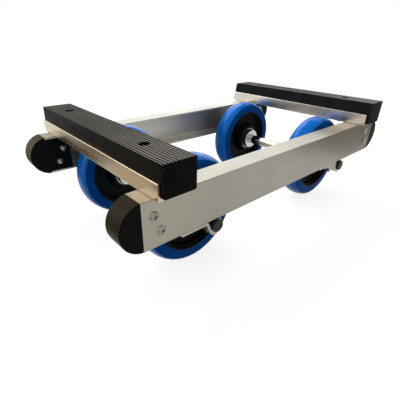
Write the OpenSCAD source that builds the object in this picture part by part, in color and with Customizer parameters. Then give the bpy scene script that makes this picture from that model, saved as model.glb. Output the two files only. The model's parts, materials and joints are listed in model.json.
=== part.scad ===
// Low platform dolly for moving upright loads: two C-section side rails on four wheels, two U-section
// cross members on top of the rails, and a ribbed rubber pad in each cross member.
// X runs along the rails, Y across them, Z up. The origin is on the floor, under the middle.

/* [Side rails] */
// Length of each side rail
rail_len = 550; // [450:5:640]
// Height of the C section
rail_h = 60; // [56:1:72]
// Width of the flanges of the C section
rail_w = 30; // [28:0.5:34]
// Wall of the C section
rail_wall = 3; // [2.5:0.1:4]
// Width over the outer faces of both rails
frame_w = 310; // [300:2:380]
// Radius of the outer long edges of the metal sections
edge_r = 0.8; // [0.4:0.1:1.2]
// Radius of the inner corners of the metal sections
root_r = 1.5; // [0.5:0.1:2.5]

/* [Cross members] */
// From the end of a rail to the outer leg of the cross member
cross_inset = 15; // [12:0.5:18]
// Width of the U section over its legs
cross_w = 50; // [47:0.5:54]
// Height of the legs of the U section
cross_h = 20; // [16:0.5:26]
// Wall of the U section
cross_wall = 3; // [2.5:0.1:3.5]
// How far the cross member reaches past the outer face of a rail
cross_overhang = 9; // [4:0.5:14]

/* [Rubber pads] */
// Height of a pad
pad_h = 38; // [34:0.5:48]
// How far a pad reaches past the end of its cross member
pad_overhang = 5; // [2:0.5:8]
// Clearance between a pad and the legs beside it
pad_gap = 0.3; // [0.1:0.05:0.5]
// Number of grooves along the top of a pad
groove_count = 10; // [6:2:12]
// Width of a groove
groove_w = 2; // [1.6:0.1:2.3]
// Width of the rib along each edge of a pad
edge_rib = 1.35; // [1.2:0.05:3]
// Depth of a groove
groove_depth = 1.8; // [1:0.1:3]
// Chamfer of the long lower edges of a pad
pad_chamfer = 1.5; // [1:0.1:3]
// Rounding of the upper edges of a pad
pad_round = 0.6; // [0.3:0.1:1]
// How far the cut at a pad's far end leans inward over the height of the pad
pad_lean = 6; // [1:0.5:8]
// Rounding of the upper edge at a pad's far end
pad_end_round = 5; // [3:0.5:8]
// Distance from the middle of a pad to each of its two screws
pad_screw_y = 105; // [60:1:110]
// Radius of the sunk hole over a pad screw
pad_sink_r = 6.6; // [6.4:0.1:8]
// Depth of the sunk hole over a pad screw
pad_sink_depth = 12; // [8:0.5:20]

/* [Bumpers] */
// How far a bumper reaches past the end of its rail
nose_reach = 26.5; // [22:0.5:29]
// How far a bumper stands proud above and below its rail
nose_proud = 0.6; // [0:0.1:1.5]
// Joint between a rail's end and the nose of its bumper
nose_gap = 0.8; // [0.3:0.1:1.5]
// Length of the bumper's tail inside the rail
tail_len = 36; // [34:0.5:38]
// Clearance between the tail and the flanges
tail_gap = 0.3; // [0.1:0.05:0.5]
// Rounding of the edge of the nose
nose_round = 1.5; // [0.5:0.1:3]
// From the end of the rail to the bumper bolt next to it
bolt_out = 15; // [14:0.25:18]
// From the end of the rail to the other bumper bolt
bolt_in = 23.5; // [22:0.25:27]
// Height of the bumper bolts above and below the middle of the rail
bolt_rise = 10.3; // [8:0.1:12]

/* [Wheels] */
// Diameter of a wheel over its tyre
wheel_d = 160; // [150:1:164]
// Thickness of the tyre
tyre_t = 20; // [14:0.5:24]
// Width of the tyre
tyre_w = 35; // [30:0.5:38]
// Radius of the tyre's shoulders
shoulder_r = 9; // [5:0.5:10]
// From the end of a rail to the axle near it
axle_inset = 110; // [107:0.5:118]
// Width of the rim over its lips
rim_w = 36; // [34:0.5:39]
// Radial thickness of the lip of the rim
lip_t = 2.5; // [1.5:0.1:4]
// Slant of the rim's barrel from lip to web
barrel_draft = 4.5; // [2:0.5:7]
// Thickness of the web between hub and barrel
web_t = 8; // [5:0.5:12]
// Radius of the hub at the web
hub_root_r = 32; // [30:0.5:36]
// Radius of the hub at its end
hub_end_r = 28; // [26:0.25:29.5]
// Length of the hub
hub_len = 42; // [40:0.5:46]

/* [Axles and bearings] */
// Diameter of an axle
axle_d = 20; // [18:0.5:21]
// Wall of the axle tube
axle_wall = 3; // [2.5:0.1:4]
// Outer diameter of a ball bearing
bearing_d = 47; // [45:0.5:50]
// Width of a ball bearing
bearing_w = 14; // [12:0.5:16]
// Outer radius of the bearing's inner ring
inner_ring_r = 14; // [13:0.1:15]
// Running clearance between the rings of a bearing
ring_gap = 0.08; // [0.05:0.01:0.1]
// Radial clearance of what is slid on the axle
slide_gap = 0.05; // [0.02:0.01:0.1]
// Length of the ring between a bearing and its washer
shim_t = 2; // [1.5:0.1:3]
// Outer radius of the washer on the axle
washer_r = 18.5; // [17:0.5:20]
// Thickness of the washer on the axle
washer_t = 3; // [2:0.1:3.5]
// Outer radius of the collar that holds a washer
collar_r = 20; // [17:0.1:21]
// Length of the collar
collar_t = 5; // [4.5:0.1:5.5]
// Chamfer of the collar's edges
collar_chamfer = 0.8; // [0.4:0.1:1.2]
// Clearance between a collar and the rail beside it
collar_gap = 1.5; // [1:0.1:5]
// Diameter of the set screw in a collar
set_screw_d = 3; // [2:0.5:3]
// Radius of the head of an axle plug
plug_head_r = 9.2; // [8.2:0.1:9.4]
// Thickness of the head of an axle plug
plug_head_t = 3; // [1.5:0.1:4]
// Rounding of the head of an axle plug
plug_round = 1; // [0.5:0.1:1.4]
// Length of an axle plug inside the axle
plug_len = 15; // [10:0.5:20]

/* [Axle hooks] */
// Thickness of a hook strap
hook_t = 3.5; // [2.5:0.1:4]
// Width of a hook strap
hook_w = 15; // [14:0.5:18]
// From the axle to the far end of the hook strap
hook_reach = 57; // [52:0.5:62]
// Clearance between the hook and the axle
hook_gap = 0.2; // [0.1:0.05:0.3]
// How far the hook reaches round the axle, in degrees below the level
hook_turn = 94; // [80:1:120]
// Slant of the hook's leg, in degrees from the upright
hook_lean = 23; // [10:1:30]
// Inner radius of the bend from strap to hook
hook_bend_r = 2; // [1:0.1:3]
// Diameter of the pin through the axle beside each hook
stop_pin_d = 4; // [3:0.1:5]
// How far the pin stands out under the axle
stop_pin_reach = 9; // [5:0.5:12]
// Play between the pin and the hook
stop_pin_gap = 0.4; // [0.2:0.1:1]
// Clearance between an axle and the rail that stands on it
seat_gap = 0.1; // [0.05:0.01:0.2]
// From the axle to the nearer screw of the hook strap
hook_screw_near = 30; // [29:0.5:34]
// From the axle to the farther screw of the hook strap
hook_screw_far = 47; // [43:0.5:50]

/* [Screws] */
// Diameter of the large screws
bolt_d = 6; // [5:0.5:6]
// Width across the flats of their nuts
nut_af = 10; // [9:0.1:10]
// Height of their nuts
nut_h = 5; // [4:0.1:6]
// Diameter of the screws in the hook straps
small_bolt_d = 5; // [4:0.5:5]
// Width across the flats of the small nuts
small_nut_af = 8; // [7:0.1:8]
// Height of the small nuts
small_nut_h = 4; // [3:0.1:5]
// Radial clearance of a screw in its hole
screw_gap = 0.25; // [0.15:0.05:0.3]
// Distance between the two screws that hold a cross member on a rail
cross_screw_pitch = 14; // [13:0.5:15]

/* [Hidden] */
$fn = 64;
eps = 0.02;
axle_r = axle_d / 2;
axle_z = wheel_d / 2;
rail_z = axle_z + axle_r + seat_gap;
rail_top = rail_z + rail_h;
rail_mid = rail_z + rail_h / 2;
rail_end = rail_len / 2;
axle_x = rail_end - axle_inset;
wheelbase = 2 * axle_x;
side_y = frame_w / 2;
lip_y = side_y - rail_w;
web_y = side_y - rail_wall;
cross_len = frame_w + 2 * cross_overhang;
cross_x = rail_end - cross_inset - cross_w / 2;
cross_floor = rail_top + cross_wall;
pad_w = cross_w - 2 * cross_wall - 2 * pad_gap;
pad_len = cross_len + 2 * pad_overhang;
pad_top = cross_floor + pad_h;
// The nuts inside a rail stand clear of the fillet beside its web
nut_line = web_y - root_r;
small_nut_gap = 0.3;
cross_screw_x = cross_x - cross_w / 2 + cross_wall + 13;
cross_screw_y = nut_line - nut_af / 2 - cross_screw_pitch / 2;
hook_screw_y = nut_line - small_nut_af / 2 - small_nut_gap;
rim_r = wheel_d / 2 - tyre_t;
set_screw_r = set_screw_d / 2;
hook_y = side_y - hook_w / 2;
bolt_r = bolt_d / 2;
hole_r = bolt_r + screw_gap;
small_bolt_r = small_bolt_d / 2;
small_hole_r = small_bolt_r + screw_gap;
nut_fit = 0.05;
bend_inset = 0.03;
bend_overlap = 3;
pan_r = bolt_d;
pan_h = 0.6 * bolt_d;
driver_cut_w = 1.2;
dome_r = 0.46 * nut_af;
dome_h = 4.5;
// The grooves are spread evenly between the two edge ribs
groove_pitch = (pad_w - 2 * edge_rib - groove_w) / (groove_count - 1);
washer_face = hub_len / 2 + shim_t + washer_t;
wheel_y = lip_y - collar_gap - collar_t - washer_face;
stop_pin_r = stop_pin_d / 2;
stop_pin_y = side_y - hook_w - stop_pin_gap - stop_pin_r;

// A rectangle with its lower left corner at the origin and rounded corners
module round_rect(w, h, r) {
    translate([r, 0]) square([w - 2 * r, h]);
    translate([0, r]) square([w, h - 2 * r]);
    for (x = [r, w - r]) {
        for (y = [r, h - r]) {
            translate([x, y]) circle(r);
        }
    }
}

// An open channel section: the web on the left, the flanges pointing right
module channel_section(w, h, wall) {
    difference() {
        round_rect(w, h, edge_r);
        translate([wall, wall]) round_rect(2 * w, h - 2 * wall, root_r);
    }
}

// Draws its child, and the same turned half round the vertical axis
module both_ends() {
    children();
    rotate([0, 0, 180]) children();
}

// A cylinder along Y from y1 to y2
module rod_y(r, y1, y2) {
    translate([0, y1, 0]) rotate([-90, 0, 0]) cylinder(r = r, h = y2 - y1);
}

// A solid turned about Y; its profile holds distance from the axis and place along Y
module turned_y(profile) {
    rotate([-90, 0, 0]) rotate_extrude() polygon(profile);
}

// A ring about Y from y1 to y2
module ring_y(r_in, r_out, y1, y2) {
    turned_y([[r_in, y1], [r_out, y1], [r_out, y2], [r_in, y2]]);
}

// A hexagon nut standing on z = 0, with its flats facing Y
module nut(af, h, r) {
    difference() {
        cylinder(d = af / cos(30), h = h, $fn = 6);
        translate([0, 0, -1]) cylinder(r = r + nut_fit, h = h + 2);
    }
}

// A domed screw head on z = 0 with a cross recess in its top
module domed_head(r, h) {
    difference() {
        rotate_extrude() intersection() {
            translate([0, h - (r * r + h * h) / (2 * h)]) circle((r * r + h * h) / (2 * h), $fn = 96);
            square([r, h]);
        }
        translate([0, 0, 0.45 * h]) driver_cut(r);
    }
}

// The cross recess for a screwdriver, from z = 0 up
module driver_cut(w) {
    for (a = [0, 90]) {
        rotate([0, 0, a]) translate([-w / 2, -driver_cut_w / 2, 0]) cube([w, driver_cut_w, w]);
    }
}

// The places of the two bumper bolts, for the bumper at the low end of the near rail
module bumper_bolt_places() {
    translate([-rail_end + bolt_out, 0, rail_mid + bolt_rise]) children();
    translate([-rail_end + bolt_in, 0, rail_mid - bolt_rise]) children();
}

// A child made for the low end of the near rail, moved to its high end by half a turn about Y
module other_end() {
    translate([0, 0, 2 * rail_mid]) rotate([0, 180, 0]) children();
}

// The places of the hook screws under the near rail
module hook_screw_places() {
    for (x = [-axle_x, axle_x]) {
        for (d = [hook_screw_near, hook_screw_far]) {
            translate([x - d, -hook_screw_y, 0]) children();
        }
    }
}

// The places of the cross member's screws on the near rail
module cross_screw_places() {
    for (side = [-1, 1]) {
        for (d = [-cross_screw_pitch / 2, cross_screw_pitch / 2]) {
            translate([side * cross_screw_x, -cross_screw_y + d, 0]) children();
        }
    }
}

module side_rail() {
    color([0.78, 0.77, 0.72])
    difference() {
        translate([0, -side_y, rail_z])
            rotate([90, 0, 90])
            linear_extrude(rail_len, center = true)
            channel_section(rail_w, rail_h, rail_wall);
        bumper_bolt_places() rod_y(hole_r, -side_y - 1, -web_y + 1);
        other_end() bumper_bolt_places() rod_y(hole_r, -side_y - 1, -web_y + 1);
        hook_screw_places() translate([0, 0, rail_z - 1]) cylinder(r = small_hole_r, h = rail_wall + 2);
        cross_screw_places() translate([0, 0, rail_top - rail_wall - 1]) cylinder(r = hole_r, h = rail_wall + 2);
    }
}

module cross_member() {
    color([0.8, 0.76, 0.68])
    difference() {
        translate([-cross_x, 0, rail_top])
            rotate([90, 0, 0])
            linear_extrude(cross_len, center = true)
            translate([cross_w / 2, 0])
            rotate(90)
            channel_section(cross_h, cross_w, cross_wall);
        for (side = [0, 180]) {
            rotate([0, 0, side]) translate([0, 0, rail_top]) {
                cross_screw_places() {
                    translate([0, 0, -1]) cylinder(r = hole_r, h = cross_wall + 2);
                    cylinder(r1 = hole_r, r2 = 2 * bolt_r + screw_gap, h = cross_wall + eps);
                }
            }
        }
        for (y = [-pad_screw_y, pad_screw_y]) {
            translate([-cross_x, y, rail_top - 1]) cylinder(r = hole_r, h = cross_wall + 2);
        }
    }
}

// The pad's cross-section: chamfered below, rounded above, grooved along its top
module pad_section() {
    half = pad_w / 2;
    difference() {
        union() {
            polygon([
                [-half + pad_chamfer, 0], [half - pad_chamfer, 0], [half, pad_chamfer],
                [half, pad_h - pad_round], [half - pad_round, pad_h],
                [-half + pad_round, pad_h], [-half, pad_h - pad_round], [-half, pad_chamfer]
            ]);
            for (x = [-half + pad_round, half - pad_round]) {
                translate([x, pad_h - pad_round]) circle(pad_round);
            }
        }
        for (i = [0 : groove_count - 1]) {
            translate([(i - (groove_count - 1) / 2) * groove_pitch, pad_h - groove_depth + groove_w / 2]) {
                circle(groove_w / 2);
                translate([-groove_w / 2, 0]) square([groove_w, groove_depth]);
            }
        }
    }
}

// What the knife takes off at the far end of a pad: a leaning cut that turns into a rounded upper edge
module pad_end_cut() {
    half = pad_len / 2;
    slope = sqrt(pad_h * pad_h + pad_lean * pad_lean);
    turn_z = pad_h - pad_end_round;
    turn_y = half - (pad_end_round * slope + pad_lean * turn_z) / pad_h;
    rotate([90, 0, 90])
    linear_extrude(pad_w + 2, center = true)
    difference() {
        polygon([
            [half + pad_lean / pad_h, -1],
            [half + 3, -1],
            [half + 3, pad_h + 1],
            [turn_y, pad_h + 1],
            [turn_y, turn_z],
            [turn_y + pad_end_round * pad_h / slope, turn_z + pad_end_round * pad_lean / slope]
        ]);
        translate([turn_y, turn_z]) circle(pad_end_round);
    }
}

// A pad, cut square at its near end. The far end is at +Y before any turn, or at -Y where turned is true
module pad(turned = false) {
    color([0.12, 0.12, 0.11])
    difference() {
        translate([-cross_x, 0, cross_floor])
            rotate([90, 0, 0])
            linear_extrude(pad_len, center = true)
            pad_section();
        translate([-cross_x, 0, cross_floor]) rotate([0, 0, turned ? 180 : 0]) pad_end_cut();
        for (y = [-pad_screw_y, pad_screw_y]) {
            translate([-cross_x, y, cross_floor]) {
                translate([0, 0, -1]) cylinder(r = hole_r, h = pad_h);
                translate([0, 0, pad_h - pad_sink_depth]) cylinder(r = pad_sink_r, h = pad_sink_depth + 1);
            }
        }
    }
}

// A half-round nose in front of the rail and a tail that fills the rail's channel
module bumper() {
    nose_r = rail_h / 2 + nose_proud;
    nose_x = -rail_end - nose_reach + nose_r;
    low = rail_z + rail_wall + tail_gap;
    high = rail_top - rail_wall - tail_gap;
    color([0.16, 0.15, 0.13])
    difference() {
        union() {
            intersection() {
                translate([nose_x, 0, rail_mid]) rotate([90, 0, 0])
                    rotate_extrude($fn = 128)
                    intersection() {
                        translate([-nose_r, lip_y]) round_rect(2 * nose_r, rail_w, nose_round);
                        translate([0, lip_y - 1]) square([nose_r, rail_w + 2]);
                    }
                translate([-rail_end - nose_reach - 1, -side_y - 1, rail_z - nose_r])
                    cube([nose_reach + 1 - nose_gap, rail_w + 2, rail_h + 2 * nose_r]);
            }
            translate([-rail_end - nose_gap - eps, 0, 0])
                rotate([90, 0, 90])
                linear_extrude(tail_len + nose_gap + eps)
                polygon([
                    [-lip_y, low], [-lip_y, high], [-web_y + root_r, high],
                    [-web_y, high - root_r], [-web_y, low + root_r], [-web_y + root_r, low]
                ]);
        }
        bumper_bolt_places() rod_y(hole_r, -side_y, -lip_y + 1);
    }
}

// A pan-head bolt through the rail's web and the tail
module bumper_bolt() {
    translate([0, -side_y, 0]) rotate([90, 0, 0]) domed_head(pan_r, pan_h);
    rod_y(bolt_r, -side_y, -lip_y + nut_h + dome_h / 2);
}

// A domed nut on the inner face of the tail
module bumper_cap_nut() {
    hollow = nut_h + dome_h / 2 + nut_fit;
    translate([0, -lip_y, 0]) rotate([-90, 0, 0]) difference() {
        union() {
            cylinder(d = nut_af / cos(30), h = nut_h, $fn = 6);
            translate([0, 0, nut_h]) dome(dome_r, dome_h);
        }
        translate([0, 0, -1]) cylinder(r = bolt_r + nut_fit, h = hollow + 1);
    }
}

// A dome of radius r and height h on z = 0
module dome(r, h) {
    ball = (r * r + h * h) / (2 * h);
    rotate_extrude() intersection() {
        translate([0, h - ball]) circle(ball, $fn = 96);
        square([r, h]);
    }
}

module four_bumper_places() {
    both_ends() {
        bumper_bolt_places() children();
        other_end() bumper_bolt_places() children();
    }
}

module bumper_bolts() {
    color([0.8, 0.8, 0.78]) four_bumper_places() bumper_bolt();
}

module bumper_cap_nuts() {
    color([0.8, 0.8, 0.78]) four_bumper_places() bumper_cap_nut();
}

// Countersunk screws, flush with the floor of the cross member
module cross_screws() {
    color([0.75, 0.75, 0.72])
    both_ends() cross_screw_places() {
        translate([0, 0, rail_top]) difference() {
            cylinder(r1 = bolt_r, r2 = 2 * bolt_r, h = cross_wall);
            translate([0, 0, cross_wall / 2]) driver_cut(1.3 * bolt_d);
        }
        translate([0, 0, rail_top - rail_wall - nut_h - 1]) cylinder(r = bolt_r, h = rail_wall + nut_h + 1);
    }
}

module cross_nuts() {
    color([0.75, 0.75, 0.72])
    both_ends() cross_screw_places() translate([0, 0, rail_top - rail_wall - nut_h]) nut(nut_af, nut_h, bolt_r);
}

module pad_screw_places() {
    both_ends() for (y = [-pad_screw_y, pad_screw_y]) {
        translate([-cross_x, y, 0]) children();
    }
}

module pad_screws() {
    head_z = pad_top - pad_sink_depth;
    foot_z = rail_top - nut_h - 1;
    color([0.3, 0.3, 0.3])
    pad_screw_places() {
        translate([0, 0, head_z]) domed_head(pan_r, pan_h);
        translate([0, 0, foot_z]) cylinder(r = bolt_r, h = head_z - foot_z);
    }
}

module pad_nuts() {
    color([0.75, 0.75, 0.72])
    pad_screw_places() translate([0, 0, rail_top - nut_h]) nut(nut_af, nut_h, bolt_r);
}

// A tube across the dolly with a hole for the pin beside each hook
module axle() {
    color([0.82, 0.81, 0.76])
    translate([-axle_x, 0, axle_z]) difference() {
        ring_y(axle_r - axle_wall, axle_r, -side_y, side_y);
        for (y = [-stop_pin_y, stop_pin_y]) {
            translate([0, y, -axle_r - 1]) cylinder(r = stop_pin_r + slide_gap, h = 2 * axle_r + 2);
        }
    }
}

// A plastic plug in each end of each axle
module axle_plugs() {
    stem_r = axle_r - axle_wall - slide_gap;
    color([0.1, 0.1, 0.1])
    both_ends() for (x = [-axle_x, axle_x]) {
        translate([x, -side_y, axle_z]) {
            rotate([90, 0, 0]) rotate_extrude() {
                square([plug_head_r, plug_head_t - plug_round]);
                square([plug_head_r - plug_round, plug_head_t]);
                translate([plug_head_r - plug_round, plug_head_t - plug_round]) circle(plug_round);
            }
            rod_y(stem_r, 0, plug_len);
        }
    }
}

// A pin through the axle beside each hook, flush above and standing out below
module stop_pins() {
    pin_top = axle_r - 2 * slide_gap;
    color([0.2, 0.2, 0.2])
    for (x = [-axle_x, axle_x]) {
        for (y = [-stop_pin_y, stop_pin_y]) {
            translate([x, y, axle_z - axle_r - stop_pin_reach])
                cylinder(r = stop_pin_r, h = pin_top + axle_r + stop_pin_reach);
        }
    }
}

// A bent strip between two angles less than half a turn apart, a hair thinner than the straight strips
// that it runs into
module arc_strip(r, t, from, to) {
    far = 3 * (r + t);
    mid = (from + to) / 2;
    intersection() {
        difference() {
            circle(r + t - bend_inset);
            circle(r + bend_inset);
        }
        polygon([
            [0, 0], far * [cos(from), sin(from)], far * [cos(mid), sin(mid)], far * [cos(to), sin(to)]
        ]);
    }
}

// A flat strap under the rail whose end bends down and hooks under the axle
module hook() {
    in_r = axle_r + hook_gap;
    flat_z = axle_r + seat_gap;
    away = [-cos(hook_lean), -sin(hook_lean)];
    bend_z = flat_z - hook_t - hook_bend_r;
    bend_x = -(in_r + hook_t + hook_bend_r + sin(hook_lean) * bend_z) / cos(hook_lean);
    bend = [bend_x, bend_z];
    color([0.72, 0.7, 0.64])
    translate([-axle_x, 0, axle_z]) difference() {
        translate([0, -hook_y, 0]) rotate([90, 0, 0]) linear_extrude(hook_w, center = true) {
            translate([-hook_reach, flat_z - hook_t]) square([hook_reach + bend_x, hook_t]);
            translate(bend) arc_strip(hook_bend_r, hook_t, hook_lean - bend_overlap, 90 + bend_overlap);
            polygon([
                away * (in_r + hook_t), away * in_r,
                bend - away * (hook_bend_r + hook_t), bend - away * hook_bend_r
            ]);
            arc_strip(in_r, hook_t, 180 + hook_lean - bend_overlap, 180 + hook_turn);
        }
        for (d = [hook_screw_near, hook_screw_far]) {
            translate([-d, -hook_screw_y, 0]) cylinder(r = small_hole_r, h = flat_z + 1);
        }
    }
}

// Button-head screws from below through strap and flange
module hook_screws() {
    head_h = 0.55 * small_bolt_d;
    under = rail_z - hook_t;
    color([0.75, 0.75, 0.72])
    both_ends() hook_screw_places() {
        translate([0, 0, under]) rotate([180, 0, 0]) domed_head(0.95 * small_bolt_d, head_h);
        translate([0, 0, under]) cylinder(r = small_bolt_r, h = hook_t + rail_wall + small_nut_h + 1);
    }
}

module hook_nuts() {
    color([0.75, 0.75, 0.72])
    both_ends() hook_screw_places() translate([0, 0, rail_z + rail_wall]) nut(small_nut_af, small_nut_h, small_bolt_r);
}

// Draws its child on the axle at the middle of each wheel
module on_axle() {
    both_ends() for (x = [-axle_x, axle_x]) {
        translate([x, wheel_y, axle_z]) children();
    }
}

// Draws its child, made for the +Y side of a hub, on both sides of each hub
module hub_sides() {
    on_axle() for (side = [0, 180]) {
        rotate([0, 0, side]) children();
    }
}

module bearing_inner_rings() {
    color([0.7, 0.7, 0.7])
    hub_sides() ring_y(axle_r + slide_gap, inner_ring_r, hub_len / 2 - bearing_w, hub_len / 2);
}

// A sleeve on the axle between the two bearings of each wheel
module bearing_sleeves() {
    reach = hub_len / 2 - bearing_w;
    color([0.7, 0.7, 0.7])
    on_axle() ring_y(axle_r + slide_gap, inner_ring_r - 1, -reach, reach);
}

module axle_shims() {
    color([0.7, 0.7, 0.7])
    hub_sides() ring_y(axle_r + slide_gap, inner_ring_r - 0.5, hub_len / 2, hub_len / 2 + shim_t);
}

module axle_washers() {
    color([0.78, 0.8, 0.78])
    hub_sides() ring_y(axle_r + 2 * slide_gap, washer_r, washer_face - washer_t, washer_face);
}

// A collar about Y from y = 0, with a set screw from below
module collar() {
    bore_r = axle_r + slide_gap;
    edge = collar_r - collar_chamfer;
    screw_low = -collar_r + 1;
    socket_r = 0.55 * set_screw_r;
    difference() {
        turned_y([
            [bore_r, 0], [edge, 0], [collar_r, collar_chamfer],
            [collar_r, collar_t - collar_chamfer], [edge, collar_t], [bore_r, collar_t]
        ]);
        translate([0, collar_t / 2, -collar_r - 1]) cylinder(r = set_screw_r + slide_gap, h = collar_r);
    }
    translate([0, collar_t / 2, screw_low]) difference() {
        cylinder(r = set_screw_r, h = -axle_r - slide_gap - screw_low);
        translate([0, 0, -1]) cylinder(r = socket_r, h = 3, $fn = 6);
    }
}

module retaining_rings() {
    color([0.75, 0.76, 0.75]) hub_sides() translate([0, washer_face, 0]) collar();
}

// A rubber tyre with flat sides and rounded shoulders
module tyre() {
    tyre_r = wheel_d / 2;
    color([0.0, 0.33, 0.68])
    rotate([-90, 0, 0]) rotate_extrude($fn = 192) {
        difference() {
            union() {
                translate([rim_r, -tyre_w / 2]) square([tyre_t - shoulder_r, tyre_w]);
                translate([rim_r, -tyre_w / 2 + shoulder_r]) square([tyre_t, tyre_w - 2 * shoulder_r]);
                for (y = [-tyre_w / 2 + shoulder_r, tyre_w / 2 - shoulder_r]) {
                    translate([tyre_r - shoulder_r, y]) circle(shoulder_r);
                }
            }
            translate([0, -tyre_w]) square([rim_r, 2 * tyre_w]);
        }
    }
}

// A moulded rim: a slanted barrel with a lip on each side, a web, and a tapered hub with bearing seats
module rim() {
    half = rim_w / 2;
    lip_in = rim_r - lip_t;
    web_in = lip_in - barrel_draft;
    seat_r = bearing_d / 2;
    hub_end = hub_len / 2;
    seat_y = hub_end - bearing_w;
    bore_r = seat_r - 5;
    root = 3;
    half_profile = [
        [rim_r, 0], [rim_r, half], [lip_in, half], [web_in, web_t / 2 + root], [web_in - root, web_t / 2],
        [hub_root_r + root, web_t / 2], [hub_root_r, web_t / 2 + root], [hub_end_r, hub_end - 1],
        [hub_end_r - 1, hub_end], [seat_r, hub_end], [seat_r, seat_y], [bore_r, seat_y], [bore_r, 0]
    ];
    color([0.07, 0.07, 0.08])
    for (side = [0, 180]) {
        rotate([side, 0, 0]) turned_y(half_profile);
    }
}

// The outer rings of the two ball bearings, each with its dust shield sunk a little
module wheel_bearings() {
    shield_sink = 0.8;
    hub_end = hub_len / 2;
    seat_y = hub_end - bearing_w;
    outer_r = bearing_d / 2 - slide_gap;
    inner_r = inner_ring_r + ring_gap;
    rim_in = outer_r - 2.5;
    color([0.6, 0.6, 0.6])
    for (side = [0, 180]) {
        rotate([side, 0, 0]) turned_y([
            [inner_r, seat_y], [outer_r, seat_y], [outer_r, hub_end], [rim_in, hub_end],
            [rim_in, hub_end - shield_sink], [inner_r, hub_end - shield_sink]
        ]);
    }
}

// Draws its child at one wheel: x is -1 at the front and 1 at the rear, y is -1 near and 1 far
module at_wheel(x, y) {
    translate([x * axle_x, y * wheel_y, axle_z]) children();
}

side_rail();  // side_rail_near
rotate([0, 0, 180]) side_rail();  // side_rail_far
cross_member();  // cross_member_front
rotate([0, 0, 180]) cross_member();  // cross_member_rear
pad();  // pad_front
rotate([0, 0, 180]) pad(turned = true);  // pad_rear
bumper();  // bumper_near_front
other_end() bumper();  // bumper_near_rear
rotate([0, 0, 180]) other_end() bumper();  // bumper_far_front
rotate([0, 0, 180]) bumper();  // bumper_far_rear
bumper_bolts();
bumper_cap_nuts();
cross_screws();
cross_nuts();
pad_screws();
pad_nuts();
axle();  // axle_front
rotate([0, 0, 180]) axle();  // axle_rear
axle_plugs();
stop_pins();
hook();  // hook_near_front
translate([wheelbase, 0, 0]) hook();  // hook_near_rear
rotate([0, 0, 180]) translate([wheelbase, 0, 0]) hook();  // hook_far_front
rotate([0, 0, 180]) hook();  // hook_far_rear
hook_screws();
hook_nuts();
bearing_inner_rings();
bearing_sleeves();
axle_shims();
axle_washers();
retaining_rings();
at_wheel(-1, -1) tyre();  // tyre_near_front
at_wheel(1, -1) tyre();  // tyre_near_rear
at_wheel(-1, 1) tyre();  // tyre_far_front
at_wheel(1, 1) tyre();  // tyre_far_rear
at_wheel(-1, -1) rim();  // rim_near_front
at_wheel(1, -1) rim();  // rim_near_rear
at_wheel(-1, 1) rim();  // rim_far_front
at_wheel(1, 1) rim();  // rim_far_rear
at_wheel(-1, -1) wheel_bearings();  // bearings_near_front
at_wheel(1, -1) wheel_bearings();  // bearings_near_rear
at_wheel(-1, 1) wheel_bearings();  // bearings_far_front
at_wheel(1, 1) wheel_bearings();  // bearings_far_rear
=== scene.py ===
# %% [markdown]
# # A piano dolly
#
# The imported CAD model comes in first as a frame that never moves. Every metal section, pad, screw
# and washer is already in it, in metres, so this lesson gives those pieces their finish, and
# makes again in mesh code the turned and moulded pieces that deserve finer edges than a CAD solid
# has.

import json
import math

import bmesh
import bpy
from mathutils import Matrix, Vector


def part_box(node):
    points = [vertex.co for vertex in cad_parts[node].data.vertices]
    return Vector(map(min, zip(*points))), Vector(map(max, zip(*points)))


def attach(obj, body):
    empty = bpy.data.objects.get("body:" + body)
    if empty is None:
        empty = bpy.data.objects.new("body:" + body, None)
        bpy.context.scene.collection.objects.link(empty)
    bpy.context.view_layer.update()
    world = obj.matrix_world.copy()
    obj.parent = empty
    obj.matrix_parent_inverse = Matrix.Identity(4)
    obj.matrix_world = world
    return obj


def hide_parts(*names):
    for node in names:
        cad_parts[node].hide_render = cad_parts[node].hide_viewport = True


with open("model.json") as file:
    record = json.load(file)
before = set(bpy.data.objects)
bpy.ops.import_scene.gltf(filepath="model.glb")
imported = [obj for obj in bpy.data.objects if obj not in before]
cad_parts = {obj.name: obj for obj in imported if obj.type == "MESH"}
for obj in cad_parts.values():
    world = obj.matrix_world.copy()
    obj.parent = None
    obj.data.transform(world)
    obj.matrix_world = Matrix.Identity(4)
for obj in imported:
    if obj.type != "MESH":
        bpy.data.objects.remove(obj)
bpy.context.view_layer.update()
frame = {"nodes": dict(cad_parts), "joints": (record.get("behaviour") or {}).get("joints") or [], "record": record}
nodes = frame["nodes"]
MM = 0.001

# %% [markdown]
# Each wheel turns on a joint of the frame, and the joint's point is the middle of the wheel. The
# wheels' names and places are read from there once, and every wheel piece is made from them.

# %% Where the wheels are
WHEELS = {joint["child"]: Vector(joint["pos_m"]) for joint in frame["joints"]}
for body, centre in WHEELS.items():
    print(body, [round(v, 4) for v in centre])

# %% [markdown]
# The camera stands a little above the near left corner and looks down along the dolly. Its place
# and its three directions were found by fitting the rails, the wheels and the pads to the
# photograph, so they are written here as plain numbers. Blender's camera looks along its own -Z,
# so that axis is turned round.

# %% The camera
CAMERA_PLACE = (-0.40948, -0.38814, 0.29765)
CAMERA_TURN = Vector((1.965486, -0.729350, 0.453162))
SENSOR = 36.0
LENS = 27.717
SHIFT = (0.0113, 0.0005)

turn = Matrix.Rotation(CAMERA_TURN.length, 3, CAMERA_TURN.normalized())
right, down, forward = turn[0], turn[1], turn[2]
pose = Matrix((right, -down, -forward)).transposed().to_4x4()
pose.translation = CAMERA_PLACE
camera_data = bpy.data.cameras.new("camera")
camera_data.sensor_width = SENSOR
camera_data.lens = LENS
camera_data.shift_x, camera_data.shift_y = SHIFT
camera = bpy.data.objects.new("camera", camera_data)
camera.matrix_world = pose
bpy.context.scene.collection.objects.link(camera)
bpy.context.scene.camera = camera
print("camera looks along", [round(v, 3) for v in forward])

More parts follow.
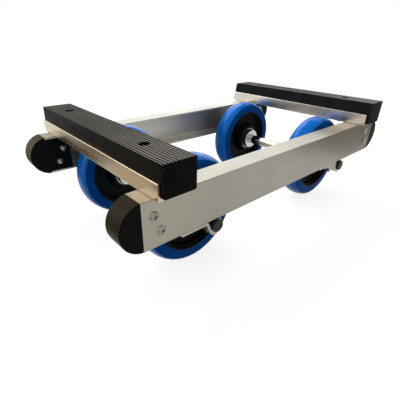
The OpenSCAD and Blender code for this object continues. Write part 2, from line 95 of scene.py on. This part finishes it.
# %% [markdown]
# A material in Blender is a graph of nodes. These few helpers keep each graph short: one starts a
# material, one adds a node and fills in its sockets, and the others make the patterns that nearly
# every surface needs. All patterns read Object coordinates, which are metres here, so a scale of
# 1000 gives grains of about a millimetre. Noise keeps mostly between 0.3 and 0.7, so that is the
# range which spread stretches to 0 and 1, unless it's told other limits. The colour sockets of a
# Mix node go by number, because its sockets for plain numbers have the same names.

# %% Helpers for materials
OCTAVE_FADE = 0.55
NOISE_LOW, NOISE_HIGH = 0.3, 0.7
MIX_FACTOR, MIX_FIRST, MIX_SECOND, MIX_RESULT = 0, 6, 7, 2
EVERY_WAY = (1, 1, 1)


def start_material(name, colour, roughness, metallic=0.0, specular=0.5):
    material = bpy.data.materials.new(name)
    material.use_nodes = True
    tree = material.node_tree
    shader = tree.nodes["Principled BSDF"]
    shader.inputs["Base Color"].default_value = (*colour, 1.0)
    shader.inputs["Roughness"].default_value = roughness
    shader.inputs["Metallic"].default_value = metallic
    shader.inputs["Specular IOR Level"].default_value = specular
    return material, tree, shader


def add(tree, kind, links=(), **values):
    node = tree.nodes.new(kind)
    for name, value in values.items():
        setattr(node, name, value)
    for socket, source in dict(links).items():
        if hasattr(source, "links"):
            tree.links.new(source, node.inputs[socket])
        else:
            node.inputs[socket].default_value = source
    return node


def place(tree, stretch=EVERY_WAY, centre=(0, 0, 0)):
    coordinates = add(tree, "ShaderNodeTexCoord").outputs["Object"]
    shift = tuple(-c * s for c, s in zip(centre, stretch))
    values = {"Vector": coordinates, "Location": shift, "Scale": stretch}
    return add(tree, "ShaderNodeMapping", values).outputs[0]


def grain(tree, scale, stretch=EVERY_WAY, detail=4.0, warp=0.0):
    values = {
        "Vector": place(tree, stretch),
        "Scale": scale,
        "Detail": detail,
        "Roughness": OCTAVE_FADE,
        "Distortion": warp,
    }
    return add(tree, "ShaderNodeTexNoise", values).outputs["Fac"]


def spread(tree, source, low=0.0, high=1.0, from_low=NOISE_LOW, from_high=NOISE_HIGH):
    values = {
        "Value": source,
        "From Min": from_low,
        "From Max": from_high,
        "To Min": low,
        "To Max": high,
    }
    return add(tree, "ShaderNodeMapRange", values).outputs["Result"]


def vary(tree, middle, pattern, below, above):
    return spread(tree, pattern, middle - below, middle + above)


def blend_colours(tree, factor, first, second):
    mix = add(tree, "ShaderNodeMix", data_type="RGBA")
    tree.links.new(factor, mix.inputs[MIX_FACTOR])
    for index, source in ((MIX_FIRST, first), (MIX_SECOND, second)):
        if hasattr(source, "links"):
            tree.links.new(source, mix.inputs[index])
        else:
            mix.inputs[index].default_value = (*source, 1.0)
    return mix.outputs[MIX_RESULT]


def combine(tree, operation, first, second=0.0):
    return add(tree, "ShaderNodeMath", {0: first, 1: second}, operation=operation).outputs[0]


def multiply(tree, first, *others):
    for other in others:
        first = combine(tree, "MULTIPLY", first, other)
    return first


def axes(tree, vector):
    return add(tree, "ShaderNodeSeparateXYZ", {0: vector}).outputs


def relief(tree, shader, height, depth, strength):
    bump = add(tree, "ShaderNodeBump", {"Height": height, "Distance": depth, "Strength": strength})
    tree.links.new(bump.outputs[0], shader.inputs["Normal"])


print("noise range", NOISE_LOW, NOISE_HIGH)

# %% [markdown]
# The side rails are extruded aluminium channel with a satin, slightly warm anodised skin. An
# extrusion die leaves very fine lines along the bar, so the noise is stretched some eighty times
# along it: it drives the roughness and a shallow bump. A large soft noise makes the skin a little
# uneven, as handling does, and a sparse, long noise gives the odd scratch. The cross members are
# brushed smoother, so their lines are coarser and almost without depth. The front one is painted a
# warmer tone, a painted reflection of warm light from the left. The rear one is painted a paler
# tone, which is painted light. The insides of the rails are made duller and painted a brighter
# colour, as painted light inside the channel: the shader compares Y and Z with the faces of the
# rail. Each pair for the lines is their scale and their detail.

# %% Satin metal sections
RAIL_COLOURS = (0.345, 0.325, 0.270), (0.300, 0.280, 0.235)
# The front member's warmer colours are a painted reflection of warm light from the left, and the rear member's
# paler colours are painted light.
CROSS_COLOURS_WITH_PAINTED_LIGHT = {
    "cross_member_front": ((0.56, 0.475, 0.35), (0.50, 0.42, 0.31)),
    "cross_member_rear": ((0.61, 0.565, 0.505), (0.55, 0.51, 0.455)),
}
SCRATCH_COLOUR = (0.50, 0.48, 0.43)
# Painted light: the brighter colour given to the insides of the rails.
INSIDE_PAINTED_LIGHT = (0.60, 0.58, 0.52)
INSIDE_DULL = 0.13
RAIL_LOW, RAIL_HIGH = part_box("side_rail_near")
SKIN_DEPTH = 0.0008
LINE_STRETCH, SCRATCH_STRETCH = 0.012, 0.05
CLOUD_SCALE, SCRATCH_SCALE = 9.0, 240.0
RAIL_LINES, CROSS_LINES = (420.0, 6.0), (110.0, 2.0)
RAIL_LINE_DEPTH, CROSS_LINE_DEPTH = 0.00003, 0.000001
RAIL_ROUGH, CROSS_ROUGH = 0.31, 0.25
SCRATCHED_LOW, SCRATCHED_HIGH, SCRATCH_STRENGTH = 0.72, 0.80, 0.5
LINE_SHADE = 0.22
ALONG_X, ALONG_Y = 0, 1


def inside_rails(tree):
    spot = axes(tree, place(tree))
    across = combine(tree, "ABSOLUTE", spot["Y"])
    from_web = combine(tree, "LESS_THAN", across, -RAIL_LOW.y - SKIN_DEPTH)
    from_top = combine(tree, "LESS_THAN", spot["Z"], RAIL_HIGH.z - SKIN_DEPTH)
    from_foot = combine(tree, "GREATER_THAN", spot["Z"], RAIL_LOW.z + SKIN_DEPTH)
    return multiply(tree, from_web, from_top, from_foot)


def stretched(along, amount):
    return tuple(amount if axis == along else 1.0 for axis in range(3))


def satin_section(name, colours, along, roughness, lines_of, line_depth, mill=False):
    colour, shade = colours
    scale, detail = lines_of
    material, tree, shader = start_material(name, colour, roughness, metallic=1.0)
    lines = grain(tree, scale, stretched(along, LINE_STRETCH), detail=detail)
    clouds = grain(tree, CLOUD_SCALE, detail=3.0)
    long_marks = grain(tree, SCRATCH_SCALE, stretched(along, SCRATCH_STRETCH), detail=2.0)
    scratches = spread(tree, long_marks, 0.0, SCRATCH_STRENGTH, SCRATCHED_LOW, SCRATCHED_HIGH)
    skin = blend_colours(tree, spread(tree, clouds), colour, shade)
    skin = blend_colours(tree, spread(tree, lines, high=LINE_SHADE), skin, shade)
    skin = blend_colours(tree, scratches, skin, SCRATCH_COLOUR)
    cloudy = vary(tree, roughness, clouds, below=0.03, above=0.05)
    gloss = combine(tree, "ADD", vary(tree, 0.0, lines, below=0.04, above=0.05), cloudy)
    # Painted light: the insides of the rails are painted brighter, and they are also made duller.
    if mill:
        inside = inside_rails(tree)
        skin = blend_colours(tree, inside, skin, INSIDE_PAINTED_LIGHT)
        gloss = combine(tree, "ADD", gloss, multiply(tree, inside, INSIDE_DULL))
    tree.links.new(skin, shader.inputs["Base Color"])
    tree.links.new(gloss, shader.inputs["Roughness"])
    relief(tree, shader, lines, line_depth, strength=0.15)
    return material


rail_metal = satin_section(
    "rail_metal", RAIL_COLOURS, ALONG_X, RAIL_ROUGH, RAIL_LINES, RAIL_LINE_DEPTH, mill=True
)
cross_metals = {}
for node, colours in CROSS_COLOURS_WITH_PAINTED_LIGHT.items():
    cross_metals[node] = satin_section(
        node + "_metal", colours, ALONG_Y, CROSS_ROUGH, CROSS_LINES, CROSS_LINE_DEPTH
    )
print("satin metals", 1 + len(cross_metals))

# %% [markdown]
# The pads are extruded black rubber. Rubber is not quite black: it has a fine, dull grain, faint
# lines where it left the die, an uneven tone, and pale specks of dust. The tops of the ribs are
# painted pale, as painted light against the darker grooves, and paler still at the near end, as a
# painted sheen. The height above the floor, read from the Z of the Object coordinates, tells the
# shader where the tops of the ribs are, and Y tells how near the end they are. The rear pad is
# painted lighter and bluer, as a painted reflection of the sky.

# %% Rubber of the pads
PAD_COLOURS_WITH_PAINTED_REFLECTION = {
    "pad_front": ((0.003, 0.0026, 0.0022), (0.014, 0.012, 0.009)),
    # The rear pad's lighter, bluer black is a painted reflection of the sky.
    "pad_rear": ((0.008, 0.010, 0.013), (0.026, 0.027, 0.029)),
}
# Painted light: the pale colour of the rib tops.
RIB_PAINTED_LIGHT = (0.26, 0.24, 0.215)
RIB_FOOT, RIB_CREST = 0.0004, 0.0001
SHEEN_LENGTH, FAR_SHEEN = 0.13, 0.45
PAD_DUST = (0.30, 0.29, 0.27)
PAD_GRAIN_DEPTH = 0.00008
PAD_ROUGH, PAD_SPECULAR = (0.40, 0.58), 0.03
ALONG_THE_PAD = (1.0, 0.02, 1.0)
SPECKS_LOW, SPECKS_HIGH = 0.745, 0.78
pad_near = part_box("pad_front")[0].y
pad_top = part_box("pad_front")[1].z


def pad_material(name, black, browned):
    material, tree, shader = start_material(name, black, PAD_ROUGH[0], specular=PAD_SPECULAR)
    clouds = grain(tree, scale=22.0, detail=5.0)
    lines = grain(tree, scale=700.0, stretch=ALONG_THE_PAD, detail=4.0)
    specks = grain(tree, scale=520.0, detail=2.0)
    spot = axes(tree, place(tree))
    foot, crest = pad_top - RIB_FOOT, pad_top - RIB_CREST
    on_ribs = spread(tree, spot["Z"], from_low=foot, from_high=crest)
    near_end = spread(tree, spot["Y"], 1.0, FAR_SHEEN, pad_near, pad_near + SHEEN_LENGTH)
    tone_and_painted_light = blend_colours(tree, spread(tree, clouds, high=0.8), black, browned)
    # Painted light on the rib tops, stronger at the near end as a painted sheen.
    ribs = multiply(tree, on_ribs, near_end, spread(tree, clouds, low=0.7))
    tone_and_painted_light = blend_colours(tree, ribs, tone_and_painted_light, RIB_PAINTED_LIGHT)
    dust = spread(tree, specks, from_low=SPECKS_LOW, from_high=SPECKS_HIGH)
    dusty = blend_colours(tree, dust, tone_and_painted_light, PAD_DUST)
    tree.links.new(dusty, shader.inputs["Base Color"])
    tree.links.new(spread(tree, lines, *PAD_ROUGH), shader.inputs["Roughness"])
    height = combine(tree, "ADD", lines, grain(tree, scale=2600.0, detail=2.0))
    relief(tree, shader, height, PAD_GRAIN_DEPTH, strength=0.6)
    return material


pad_rubbers = {
    node: pad_material(node + "_rubber", *colours) for node, colours in PAD_COLOURS_WITH_PAINTED_REFLECTION.items()
}
print("pad rubbers", len(pad_rubbers))

# %% [markdown]
# The bumpers are moulded, so their grain has no direction. The round nose is painted brown in
# clouds, as a painted sheen. The slope of the surface, from Geometry's Normal, tells the nose from
# the flat sides, because the flat sides face along Y and nothing else does. Each bumper has two
# factors of its own, both painted light: how much its black is lightened, and how strong the
# painted sheen on its nose is.

# %% Rubber of the bumpers
BUMPER_BLACK = Vector((0.0015, 0.002, 0.002))
# Painted sheen: the brown of the round nose.
BUMPER_PAINTED_SHEEN = Vector((0.024, 0.016, 0.006))
BUMPER_GRAIN_DEPTH = 0.00012
BUMPER_ROUGH, BUMPER_SPECULAR = (0.36, 0.5), 0.045
FLAT_SIDE, ROUND_NOSE = 0.75, 0.25
# Painted light per bumper: the first factor lightens its black, the second scales the painted sheen on its nose.
BUMPER_PAINTED_LIGHT = {
    "bumper_near_front": (1.0, 1.0),
    "bumper_far_front": (4.5, 3.0),
    "bumper_near_rear": (9.0, 2.6),
    "bumper_far_rear": (4.5, 2.6),
}


def bumper_material(name, dust, painted_light):
    # The dust factor lightens the black as painted light, and browned is the nose's painted sheen.
    black, browned = tuple(BUMPER_BLACK * dust), tuple(BUMPER_PAINTED_SHEEN * painted_light)
    material, tree, shader = start_material(name, black, BUMPER_ROUGH[1], specular=BUMPER_SPECULAR)
    normal = add(tree, "ShaderNodeNewGeometry").outputs["Normal"]
    across = combine(tree, "ABSOLUTE", axes(tree, normal)["Y"])
    clouds = grain(tree, scale=30.0, detail=5.0)
    on_nose = spread(tree, across, from_low=FLAT_SIDE, from_high=ROUND_NOSE)
    # Painted sheen on the nose, in clouds.
    painted_sheen_on_nose = multiply(tree, on_nose, spread(tree, clouds, low=0.55))
    tree.links.new(blend_colours(tree, painted_sheen_on_nose, black, browned), shader.inputs["Base Color"])
    tree.links.new(spread(tree, clouds, *BUMPER_ROUGH), shader.inputs["Roughness"])
    relief(tree, shader, grain(tree, scale=1500.0, detail=3.0), BUMPER_GRAIN_DEPTH, strength=0.6)
    return material


bumper_rubbers = {
    node: bumper_material(node + "_rubber", *painted_light) for node, painted_light in BUMPER_PAINTED_LIGHT.items()
}
print("bumper rubbers", len(bumper_rubbers))

# %% [markdown]
# Screws, nuts and washers are zinc-plated. Plating looks like plain grey metal from far off, but
# close by it is cloudy, with a yellowish passivated bloom in places. The axle is drawn tube, also
# plated, with lines round it from polishing in a lathe. Each pair for the lines is their scale
# and their depth.

# %% Plated, drawn and dark steel
ROUND_THE_AXLE = (0.05, 1.0, 0.05)
DEEP_LINES, SHALLOW_LINES, AXLE_LINES = (1400.0, 0.00003), (1400.0, 0.00001), (600.0, 0.000001)


def plated(name, colours, roughness, bloom_scale, stretch=EVERY_WAY, lines_of=DEEP_LINES):
    colour, bloom = colours
    line_scale, line_depth = lines_of
    material, tree, shader = start_material(name, colour, roughness, metallic=1.0)
    clouds = grain(tree, bloom_scale, detail=4.0, warp=0.6)
    lines = grain(tree, line_scale, stretch, detail=4.0)
    skin = blend_colours(tree, spread(tree, clouds), colour, bloom)
    tree.links.new(skin, shader.inputs["Base Color"])
    cloudy = vary(tree, roughness, clouds, below=0.05, above=0.08)
    gloss = combine(tree, "ADD", cloudy, vary(tree, 0.0, lines, below=0.03, above=0.03))
    tree.links.new(gloss, shader.inputs["Roughness"])
    relief(tree, shader, lines, line_depth, strength=0.4)
    return material


plated_steel = plated(
    "plated_steel",
    ((0.27, 0.29, 0.29), (0.24, 0.22, 0.18)),
    roughness=0.17,
    bloom_scale=160.0,
    lines_of=SHALLOW_LINES,
)
axle_steel = plated(
    "axle_steel",
    ((0.52, 0.50, 0.43), (0.44, 0.42, 0.36)),
    roughness=0.15,
    bloom_scale=30.0,
    stretch=ROUND_THE_AXLE,
    lines_of=AXLE_LINES,
)
hook_steel = plated(
    "hook_steel", ((0.43, 0.40, 0.335), (0.34, 0.32, 0.27)), roughness=0.28, bloom_scale=90.0
)
bearing_steel = plated(
    "bearing_steel", ((0.24, 0.24, 0.25), (0.18, 0.18, 0.18)), roughness=0.24, bloom_scale=120.0
)
washer_steel = plated(
    "washer_steel",
    ((0.58, 0.64, 0.66), (0.46, 0.50, 0.50)),
    roughness=0.22,
    bloom_scale=110.0,
    lines_of=SHALLOW_LINES,
)
spring_steel = plated(
    "spring_steel", ((0.10, 0.10, 0.105), (0.16, 0.155, 0.15)), roughness=0.38, bloom_scale=200.0
)
dark_screw = plated(
    "dark_screw", ((0.07, 0.07, 0.07), (0.13, 0.12, 0.11)), roughness=0.36, bloom_scale=200.0
)
print("scale and depth of the axle's lines", AXLE_LINES)

# %% [markdown]
# The tyres are elastic blue rubber. Their sides keep the dull skin of the mould. The tread is
# glossier, because running has polished it, and paler, partly from dust pressed into it and partly
# as painted light for the highlights on it. One function makes both, and each finish then has its
# own shininess as a plain number on the shader.

# %% Blue rubber
SIDE_COLOURS = (0.0, 0.090, 0.39), (0.0, 0.115, 0.46)
# The tread's paler blue is partly dust and partly painted light for its highlights.
TREAD_COLOURS_WITH_PAINTED_LIGHT = (0.0, 0.165, 0.68), (0.01, 0.22, 0.74)
SIDE_ROUGH, TREAD_ROUGH = (0.34, 0.46), (0.15, 0.22)
SIDE_SPECULAR, TREAD_SPECULAR = 0.03, 0.14
TYRE_GRAIN_DEPTH = 0.00008


def blue_rubber(name, colours, rough, specular):
    blue, dusty = colours
    material, tree, shader = start_material(name, blue, rough[1], specular=specular)
    clouds = grain(tree, scale=40.0, detail=5.0)
    fine = grain(tree, scale=1300.0, detail=3.0)
    dust = spread(tree, clouds, high=0.35)
    tree.links.new(blend_colours(tree, dust, blue, dusty), shader.inputs["Base Color"])
    tree.links.new(spread(tree, clouds, *rough), shader.inputs["Roughness"])
    relief(tree, shader, combine(tree, "ADD", fine, clouds), TYRE_GRAIN_DEPTH, strength=0.4)
    return material


tyre_side = blue_rubber("tyre_side", SIDE_COLOURS, SIDE_ROUGH, SIDE_SPECULAR)
tyre_tread = blue_rubber("tyre_tread", TREAD_COLOURS_WITH_PAINTED_LIGHT, TREAD_ROUGH, TREAD_SPECULAR)
print("blue rubbers", tyre_side.name, tyre_tread.name)

# %% [markdown]
# The rims are moulded in black glass-filled plastic. It shrinks a little unevenly as it cools,
# which shows as soft clouds in its sheen, and the tool leaves faint rings round the axis. The
# rings come from the distance to the wheel's own axis, so each wheel has its own copy. The plugs
# in the axle's ends and the seals of the bearings are a softer black.

# %% Black plastics
RIM_COLOURS = (0.003, 0.0035, 0.005), (0.007, 0.008, 0.011)
PLUG_COLOURS = (0.008, 0.008, 0.008), (0.022, 0.021, 0.020)
RIM_ROUGH, PLUG_ROUGH = (0.26, 0.40), (0.36, 0.5)
RIM_SPECULAR, PLUG_SPECULAR = 0.05, 0.2
RIM_CLOUDS, PLUG_CLOUDS = (34.0, 5.0), (150.0, 4.0)
RING_SCALE, RING_HEIGHT = 5200.0, 0.12
PLASTIC_GRAIN_DEPTH = 0.00008
WITHOUT_Y = (1.0, 0.0, 1.0)


def distance(tree, vector):
    return add(tree, "ShaderNodeVectorMath", {0: vector}, operation="LENGTH").outputs["Value"]


def black_plastic(name, colours, rough, specular, clouds_of):
    black, clouded = colours
    scale, detail = clouds_of
    material, tree, shader = start_material(name, black, rough[1], specular=specular)
    clouds = grain(tree, scale, detail=detail)
    skin = blend_colours(tree, spread(tree, clouds), black, clouded)
    tree.links.new(skin, shader.inputs["Base Color"])
    tree.links.new(spread(tree, clouds, *rough), shader.inputs["Roughness"])
    return material, tree, shader


def rim_material(corner, centre):
    material, tree, shader = black_plastic(
        "rim_plastic_" + corner, RIM_COLOURS, RIM_ROUGH, RIM_SPECULAR, RIM_CLOUDS
    )
    from_axis = distance(tree, place(tree, WITHOUT_Y, centre))
    rings = combine(tree, "SINE", multiply(tree, from_axis, RING_SCALE))
    fine = grain(tree, scale=1700.0, detail=2.0)
    height = combine(tree, "ADD", multiply(tree, rings, RING_HEIGHT), fine)
    relief(tree, shader, height, PLASTIC_GRAIN_DEPTH, strength=0.5)
    return material


plug_plastic, tree, shader = black_plastic(
    "plug_plastic", PLUG_COLOURS, PLUG_ROUGH, PLUG_SPECULAR, PLUG_CLOUDS
)
relief(tree, shader, grain(tree, scale=2200.0, detail=2.0), PLASTIC_GRAIN_DEPTH, strength=0.5)
print("black plastic", plug_plastic.name)

# %% [markdown]
# A CAD node takes its finish through its material slots. The record names a slot for every node,
# so one table from slot to material dresses most of them. The cross members, pads and bumpers
# have a finish each from the tables above, and the tyres and rims wait for their own pieces.

# %% Dressing the CAD nodes
FINISHES = {
    "rail_metal": rail_metal,
    "plated_steel": plated_steel,
    "dark_screw": dark_screw,
    "axle_steel": axle_steel,
    "plug_plastic": plug_plastic,
    "hook_steel": hook_steel,
    "bearing_steel": bearing_steel,
    "washer_steel": washer_steel,
    "spring_steel": spring_steel,
}
OWN_FINISHES = {**cross_metals, **pad_rubbers, **bumper_rubbers}
dressed = 0
for part in frame["record"]["subparts"]:
    finish = OWN_FINISHES.get(part["node"]) or FINISHES.get(part["material_slot"])
    if finish:
        mesh = nodes[part["node"]].data
        mesh.materials.clear()
        mesh.materials.append(finish)
        dressed += 1
print("dressed", dressed, "nodes")

# %% [markdown]
# A wheel is a turned shape, so it is made as a lathe makes it: a few points give half of the
# cross-section, edges join them, and spin sweeps them once round the axle. The sweep closes on
# itself, so doubles are merged, and the normals are worked out again, because a spin can turn a
# shape inside out.

# %% Helpers for turned pieces
TYRE_STEPS, RIM_STEPS, SEAL_STEPS = 160, 128, 96
WELD = 1e-6
SHARP_CORNER = math.radians(32)


def both_sides(half):
    return half + [(out, -along) for out, along in reversed(half)]


def turned_mesh(name, outline, steps):
    shape = bmesh.new()
    corners = [shape.verts.new((out * MM, along * MM, 0.0)) for out, along in outline]
    edges = [shape.edges.new((a, b)) for a, b in zip(corners, corners[1:] + corners[:1])]
    bmesh.ops.spin(
        shape,
        geom=corners + edges,
        cent=(0, 0, 0),
        axis=(0, 1, 0),
        angle=2 * math.pi,
        steps=steps,
        use_merge=True,
        use_normal_flip=False,
        use_duplicate=False,
    )
    bmesh.ops.remove_doubles(shape, verts=shape.verts, dist=WELD)
    bmesh.ops.recalc_face_normals(shape, faces=shape.faces)
    mesh = bpy.data.meshes.new(name)
    shape.to_mesh(mesh)
    shape.free()
    mesh.shade_smooth()
    mesh.set_sharp_from_angle(angle=SHARP_CORNER)
    return mesh


def corner_of(body):
    return body.replace("wheel_", "")


def put_on_wheel(name, mesh, body, materials, replaced=None):
    mesh = mesh.copy()
    mesh.name = name
    mesh.transform(Matrix.Translation(WHEELS[body]))
    for material in materials:
        mesh.materials.append(material)
    piece = bpy.data.objects.new(name, mesh)
    bpy.context.scene.collection.objects.link(piece)
    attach(piece, body)
    if replaced:
        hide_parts(replaced)


print("steps round the axle", TYRE_STEPS, RIM_STEPS, SEAL_STEPS)

# %% [markdown]
# The tyre has flat sides, a soft ridge where each side turns into the shoulder, and a slightly
# crowned tread. The two halves of the mould met in the middle of the tread and left a fine raised
# line there. The outline goes round the whole section in one direction, from the bore up one side
# and down the other.

# %% The tyres
TYRE_SIDE = [
    (60.0, 17.3), (61.0, 17.5), (66.0, 17.5), (70.5, 17.4), (73.4, 17.1), (74.2, 16.9),
    (74.55, 16.6), (75.4, 15.75), (76.5, 14.4), (77.5, 12.7), (78.4, 10.5), (79.1, 7.9),
    (79.5, 5.2), (79.72, 2.6), (79.78, 0.55), (79.98, 0.3),
]
RIDGE = 74.6
BLUES = (tyre_side, tyre_tread)
tyre_mesh = turned_mesh("tyre", both_sides(TYRE_SIDE), TYRE_STEPS)
for face in tyre_mesh.polygons:
    out = math.hypot(face.center.x, face.center.z)
    face.material_index = BLUES.index(tyre_tread if out > RIDGE * MM else tyre_side)
for body in WHEELS:
    corner = corner_of(body)
    put_on_wheel("moulded_tyre_" + corner, tyre_mesh, body, BLUES, "tyre_" + corner)
print("tyre faces", len(tyre_mesh.polygons))

# %% [markdown]
# The rim is one moulding: a lip under the tyre's edge, a barrel that slants inward, a thin web
# and a tapered hub that holds the two ball bearings. Moulded corners are never sharp, so each one
# gets a short extra step in the outline, and a raised bead runs round the web and round the hub's
# end.

# %% The rims
RIM_SIDE = [
    (60.0, 17.2), (59.7, 17.8), (59.1, 18.0), (58.2, 18.0), (57.6, 17.7), (57.3, 17.1),
    (56.9, 14.0), (56.2, 13.6), (55.6, 12.8), (53.6, 8.4), (53.0, 6.6), (52.0, 5.0),
    (50.4, 4.2), (48.6, 4.0), (47.4, 4.0), (47.0, 4.5), (46.0, 4.5), (45.6, 4.0), (37.0, 4.0),
    (35.0, 4.2), (33.2, 5.2), (32.2, 6.8), (31.9, 8.6), (29.4, 16.5), (29.2, 17.4),
    (28.6, 17.9), (28.3, 19.6), (27.9, 20.6), (27.2, 21.0), (24.4, 21.0), (23.75, 20.7),
    (23.5, 20.2), (23.5, 7.0), (18.5, 7.0),
]
rim_mesh = turned_mesh("rim", both_sides(RIM_SIDE), RIM_STEPS)
for body, centre in WHEELS.items():
    corner = corner_of(body)
    finish = (rim_material(corner, centre),)
    put_on_wheel("moulded_rim_" + corner, rim_mesh, body, finish, "rim_" + corner)
print("rim faces", len(rim_mesh.polygons))

# %% [markdown]
# Each ball bearing is closed by a black rubber seal, with a bead moulded round it near the outer
# ring and a lip at the inner one. It is clamped in the outer ring, so it turns with the wheel.
# Both seals of a wheel are one piece: one is spun, and its copy is turned half a turn to the
# other side.

# %% The bearing seals
SEAL = [
    (20.9, 20.25), (20.9, 20.6), (20.4, 20.85), (19.4, 20.9), (18.9, 20.7), (18.6, 20.45),
    (15.7, 20.45), (15.3, 20.7), (14.7, 20.75), (14.4, 20.6), (14.4, 20.25),
]
HALF_A_TURN = Matrix.Rotation(math.pi, 3, "Z")
seal_mesh = turned_mesh("seal", SEAL, SEAL_STEPS)
both = bmesh.new()
both.from_mesh(seal_mesh)
other = bmesh.ops.duplicate(both, geom=both.verts[:] + both.edges[:] + both.faces[:])["geom"]
other_corners = [item for item in other if isinstance(item, bmesh.types.BMVert)]
bmesh.ops.rotate(both, verts=other_corners, cent=(0, 0, 0), matrix=HALF_A_TURN)
both.to_mesh(seal_mesh)
both.free()
for body in WHEELS:
    name = "bearing_seals_" + corner_of(body)
    put_on_wheel(name, seal_mesh, body, (plug_plastic,))
print("seal faces", len(seal_mesh.polygons))

# %% [markdown]
# A plain pale floor stands in for the photographer's white paper. It is an ordinary diffuse
# surface, so it keeps the shadow of the dolly. For the camera and for reflections white is added
# to it, so that it is as bright as paper. Further out the grey fades and the white grows, until
# the floor meets the sky unseen.

# %% Floor
FLOOR_HALF = 14.0
FLOOR_GREY = 0.30
FLOOR_WHITE = 0.83
FLOOR_DROP = 0.0002
NEAR, FAR = 0.7, 2.2
PAPER_ROUGH = 0.9


def seen_directly(tree):
    path = add(tree, "ShaderNodeLightPath")
    seen = combine(tree, "MAXIMUM", path.outputs["Is Camera Ray"], path.outputs["Is Glossy Ray"])
    return combine(tree, "MAXIMUM", seen, path.outputs["Is Transmission Ray"])


floor_shape = bmesh.new()
bmesh.ops.create_grid(floor_shape, x_segments=1, y_segments=1, size=FLOOR_HALF)
floor_mesh = bpy.data.meshes.new("floor")
floor_shape.to_mesh(floor_mesh)
floor_shape.free()
floor = bpy.data.objects.new("floor", floor_mesh)
floor.location.z = -FLOOR_DROP
bpy.context.scene.collection.objects.link(floor)
paper, tree, shader = start_material("paper", (FLOOR_GREY,) * 3, PAPER_ROUGH, specular=0.0)
away = distance(tree, place(tree))
grey = spread(tree, away, FLOOR_GREY, 0.0, NEAR, FAR)
glow = multiply(tree, seen_directly(tree), spread(tree, away, FLOOR_WHITE, 1.0, NEAR, FAR))
tree.links.new(grey, shader.inputs["Base Color"])
shader.inputs["Emission Color"].default_value = (1, 1, 1, 1)
tree.links.new(glow, shader.inputs["Emission Strength"])
floor_mesh.materials.append(paper)
print("floor", 2 * FLOOR_HALF, "m wide")

# %% [markdown]
# The light is that of a bright hall: one long tube over the far side, which draws the glints on
# the tyres and the axle, a large soft panel behind the right side that makes the tops of the
# flanges shine, a soft lamp overhead and a warm one from the left. Each row gives a lamp's place,
# its two sides, its power and its colour, and all of them aim at the middle of the dolly.

# %% Lamps
MIDDLE = Vector((0.0, 0.0, 0.1))
WHITE, COLD, WARM = (1.0, 1.0, 1.0), (0.94, 0.98, 1.0), (1.0, 0.90, 0.78)
LAMPS = {
    "tube": ((0.1, 1.3, 1.7), (2.4, 0.42), 20.0, WHITE),
    "overhead": ((-0.2, -0.3, 1.9), (1.6, 1.6), 4.0, WHITE),
    "behind": ((2.1, 1.4, 0.9), (3.8, 1.8), 26.0, COLD),
    "left": ((-1.75, 1.45, 0.95), (2.4, 0.9), 21.0, WARM),
}
for name, (place_at, size, power, colour) in LAMPS.items():
    data = bpy.data.lights.new(name, "AREA")
    data.shape = "RECTANGLE"
    data.size, data.size_y = size
    data.energy = power
    data.color = colour
    lamp = bpy.data.objects.new(name, data)
    lamp.location = place_at
    lamp.rotation_euler = (MIDDLE - Vector(place_at)).to_track_quat("-Z", "Y").to_euler()
    bpy.context.scene.collection.objects.link(lamp)
print("lamps", list(LAMPS))

# %% [markdown]
# Polished metal shows what lies round it, so four cards lie on the floor, as a photographer's
# flags do: a tan one to the right for the far end of the near rail, a small one under the dolly
# for the far channel, and a cream and a brown one to the left, like a wooden floor, for the cross
# member in front. A fifth is the grey ceiling over the lamps, which gives round metal its dark
# streaks. Only reflections see them. Each row gives a card's middle, half its sides, its height
# over the floor and its colour.

# %% Cards that only reflections see
ON_FLOOR, CEILING = 0.001, 2.0
CARDS = {
    "card_right": ((1.05, -0.72), (0.62, 0.46), ON_FLOOR, (0.30, 0.255, 0.20)),
    "card_under": ((0.08, 0.15), (0.22, 0.06), ON_FLOOR, (0.20, 0.17, 0.13)),
    "card_cream": ((-0.86, -0.02), (0.50, 0.30), ON_FLOOR, (0.66, 0.54, 0.41)),
    "card_brown": ((-0.80, 0.44), (0.46, 0.13), ON_FLOOR, (0.10, 0.07, 0.04)),
    "card_ceiling": ((0.0, 0.2), (1.7, 1.4), CEILING, (0.24, 0.25, 0.27)),
}
for name, (middle, half, height, colour) in CARDS.items():
    shape = bmesh.new()
    bmesh.ops.create_grid(shape, x_segments=1, y_segments=1, size=1.0)
    bmesh.ops.scale(shape, verts=shape.verts, vec=(*half, 1.0))
    bmesh.ops.translate(shape, verts=shape.verts, vec=(*middle, height))
    mesh = bpy.data.meshes.new(name)
    shape.to_mesh(mesh)
    shape.free()
    mesh.materials.append(start_material(name, colour, PAPER_ROUGH, specular=0.0)[0])
    sheet = bpy.data.objects.new(name, mesh)
    bpy.context.scene.collection.objects.link(sheet)
    sheet.visible_camera = False
    sheet.visible_diffuse = False
    sheet.visible_shadow = False
print("cards", list(CARDS))

# %% [markdown]
# The sky is white where the camera or a reflection looks at it, and dimmer as a source of light.

# %% Sky
SKY_LIGHT = 0.40
world = bpy.data.worlds.new("sky")
bpy.context.scene.world = world
world.use_nodes = True
tree = world.node_tree
sky = tree.nodes["Background"]
sky.inputs["Color"].default_value = (1, 1, 1, 1)
strength = spread(tree, seen_directly(tree), SKY_LIGHT, 1.0, from_low=0.0, from_high=1.0)
tree.links.new(strength, sky.inputs["Strength"])
bpy.context.scene.view_settings.view_transform = "Standard"
print("sky as a light", SKY_LIGHT)
